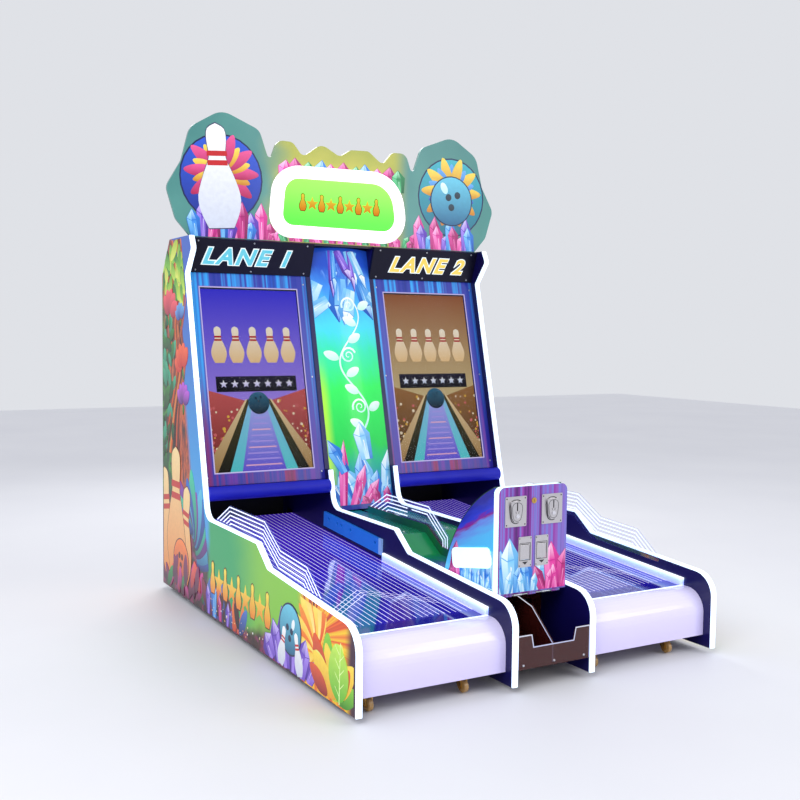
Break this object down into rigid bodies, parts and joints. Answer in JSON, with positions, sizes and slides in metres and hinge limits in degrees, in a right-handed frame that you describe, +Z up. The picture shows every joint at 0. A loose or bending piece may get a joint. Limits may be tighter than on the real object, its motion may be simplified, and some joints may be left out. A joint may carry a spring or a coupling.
{
  "type": "two-lane bowling redemption machine",
  "caption": "Two-player alley bowling redemption machine: lit lanes under leaning portrait screens, clear rail guards, centre coin box with ball tray, and an illuminated topper.",
  "frame": {"origin": "on the floor under the middle of the machine's bounding box", "axes": "+Z up, +Y from the players towards the back, +X to the players' right"},
  "size_m": [1.9456, 2.24, 2.4825],
  "materials": {
    "printed_side": "satin print",
    "navy_panel": "satin laminate",
    "led_edge": "lit",
    "frame_steel": "satin",
    "black_board": "matt laminate",
    "header_print": "gloss",
    "surround_print": "gloss print",
    "screen_glass": "clear",
    "monitor_case": "satin",
    "blue_bar": "satin foam",
    "lane_acrylic": "gloss, lit",
    "lane_wood": "raw",
    "apron_acrylic": "translucent, lit",
    "white_light": "lit",
    "guard_acrylic": "clear, edge lit",
    "sensor_blue": "matt",
    "pit_black": "matt",
    "chute_steel": "satin",
    "column_print": "gloss print",
    "cover_print": "gloss print",
    "cheek_print": "gloss print",
    "hood_green": "satin",
    "mint_light": "lit",
    "smoked_acrylic": "smoked",
    "topper_print": "gloss print",
    "sign_light": "lit",
    "sign_green": "gloss, lit",
    "zinc": "zinc",
    "electronic_case": "satin",
    "coin_door_print": "gloss print",
    "silver_plate": "satin",
    "brass": "satin",
    "button_metal": "polished",
    "rocker_red": "gloss",
    "inlet_black": "matt",
    "caster_gold": "plated",
    "wheel_amber": "satin"
  },
  "bodies": {
    "cabinet": {"side_panel_1": "printed_side", "side_panel_2": "navy_panel", "side_panel_3": "navy_panel", "side_panel_4": "printed_side", "edge_lights": "led_edge", "base_frames": "frame_steel", "back_panel": "black_board", "roof_panel": "black_board", "header_boards": "header_print", "surround_1": "surround_print", "surround_2": "surround_print", "screen_glasses": "screen_glass", "monitors": "monitor_case", "bumper_bars": "blue_bar", "lane_surface_1": "lane_acrylic", "lane_surface_2": "lane_acrylic", "lane_boards": "lane_wood", "lane_aprons": "apron_acrylic", "lane_lights": "white_light", "wing_guards": "guard_acrylic", "sensor_bars": "sensor_blue", "ball_pits": "pit_black", "return_chute": "chute_steel", "centre_column": "column_print", "centre_cover": "cover_print", "coin_cheeks": "cheek_print", "coin_hood": "hood_green", "coin_lights": "mint_light", "ball_tray": "smoked_acrylic", "topper_board": "topper_print", "topper_rim": "sign_light", "topper_face": "sign_green", "topper_brackets": "zinc", "cash_box": "electronic_case", "electronics": "electronic_case", "screws": "zinc", "levelling_feet": "zinc", "power_inlet": "inlet_black", "hinge_leaves": "zinc", "rear_caster_forks": "caster_gold"},
    "coin_door": {"coin_door": "coin_door_print", "coin_plates": "silver_plate"},
    "coin_lock": {"coin_lock": "brass"},
    "coin_button_1": {"coin_button_1": "button_metal"},
    "coin_button_2": {"coin_button_2": "button_metal"},
    "coin_flap_1": {"coin_flap_1": "silver_plate"},
    "coin_flap_2": {"coin_flap_2": "silver_plate"},
    "rear_door_1": {"rear_door_1": "black_board"},
    "rear_door_2": {"rear_door_2": "black_board"},
    "power_switch": {"power_switch": "rocker_red"},
    "caster_fork_1": {"caster_fork_1": "caster_gold"},
    "caster_fork_2": {"caster_fork_2": "caster_gold"},
    "caster_fork_3": {"caster_fork_3": "caster_gold"},
    "caster_fork_4": {"caster_fork_4": "caster_gold"},
    "caster_wheel_1": {"caster_wheel_1": "wheel_amber"},
    "caster_wheel_2": {"caster_wheel_2": "wheel_amber"},
    "caster_wheel_3": {"caster_wheel_3": "wheel_amber"},
    "caster_wheel_4": {"caster_wheel_4": "wheel_amber"},
    "caster_wheel_5": {"caster_wheel_5": "wheel_amber"},
    "caster_wheel_6": {"caster_wheel_6": "wheel_amber"}
  },
  "joints": [
    {"name": "coin_door_hinge", "type": "hinge", "parent": "cabinet", "child": "coin_door", "pos_m": [0, -0.96, 0.337], "axis": [1, 0, 0], "range_deg": [0, 95]},
    {"name": "coin_lock_turn", "type": "hinge", "parent": "coin_door", "child": "coin_lock", "pos_m": [0, -0.962, 0.717], "axis": [0, -1, 0], "range_deg": [0, 90]},
    {"name": "coin_button_1_press", "type": "slide", "parent": "coin_door", "child": "coin_button_1", "axis": [0, 1, 0], "range_m": [0, 0.0035], "stiffness_N_per_m": 300, "springref_m": -0.004},
    {"name": "coin_button_2_press", "type": "slide", "parent": "coin_door", "child": "coin_button_2", "axis": [0, 1, 0], "range_m": [0, 0.0035], "stiffness_N_per_m": 300, "springref_m": -0.004},
    {"name": "coin_flap_1_swing", "type": "hinge", "parent": "coin_door", "child": "coin_flap_1", "pos_m": [-0.042, -0.966, 0.538], "axis": [1, 0, 0], "range_deg": [0, 40]},
    {"name": "coin_flap_2_swing", "type": "hinge", "parent": "coin_door", "child": "coin_flap_2", "pos_m": [0.042, -0.966, 0.538], "axis": [1, 0, 0], "range_deg": [0, 40]},
    {"name": "rear_door_1_hinge", "type": "hinge", "parent": "cabinet", "child": "rear_door_1", "pos_m": [-0.8185, 1.11, 0.975], "axis": [0, 0, 1], "range_deg": [0, 110]},
    {"name": "rear_door_2_hinge", "type": "hinge", "parent": "cabinet", "child": "rear_door_2", "pos_m": [0.8185, 1.11, 0.975], "axis": [0, 0, -1], "range_deg": [0, 110]},
    {"name": "power_switch_rock", "type": "hinge", "parent": "cabinet", "child": "power_switch", "pos_m": [0.112, 1.089, 0.45], "axis": [1, 0, 0], "range_deg": [-16, 0]},
    {"name": "caster_1_swivel", "type": "hinge", "parent": "cabinet", "child": "caster_fork_1", "pos_m": [-0.7775, -0.99, 0.065], "axis": [0, 0, 1], "continuous": true},
    {"name": "caster_2_swivel", "type": "hinge", "parent": "cabinet", "child": "caster_fork_2", "pos_m": [-0.3605, -0.99, 0.065], "axis": [0, 0, 1], "continuous": true},
    {"name": "caster_3_swivel", "type": "hinge", "parent": "cabinet", "child": "caster_fork_3", "pos_m": [0.2875, -0.99, 0.065], "axis": [0, 0, 1], "continuous": true},
    {"name": "caster_4_swivel", "type": "hinge", "parent": "cabinet", "child": "caster_fork_4", "pos_m": [0.7045, -0.99, 0.065], "axis": [0, 0, 1], "continuous": true},
    {"name": "caster_1_roll", "type": "hinge", "parent": "caster_fork_1", "child": "caster_wheel_1", "pos_m": [-0.7775, -1.012, 0.027], "axis": [1, 0, 0], "continuous": true},
    {"name": "caster_2_roll", "type": "hinge", "parent": "caster_fork_2", "child": "caster_wheel_2", "pos_m": [-0.3605, -1.012, 0.027], "axis": [1, 0, 0], "continuous": true},
    {"name": "caster_3_roll", "type": "hinge", "parent": "caster_fork_3", "child": "caster_wheel_3", "pos_m": [0.2875, -1.012, 0.027], "axis": [1, 0, 0], "continuous": true},
    {"name": "caster_4_roll", "type": "hinge", "parent": "caster_fork_4", "child": "caster_wheel_4", "pos_m": [0.7045, -1.012, 0.027], "axis": [1, 0, 0], "continuous": true},
    {"name": "caster_5_roll", "type": "hinge", "parent": "cabinet", "child": "caster_wheel_5", "pos_m": [-0.73, 1.018, 0.027], "axis": [1, 0, 0], "continuous": true},
    {"name": "caster_6_roll", "type": "hinge", "parent": "cabinet", "child": "caster_wheel_6", "pos_m": [0.73, 1.018, 0.027], "axis": [1, 0, 0], "continuous": true}
  ]
}
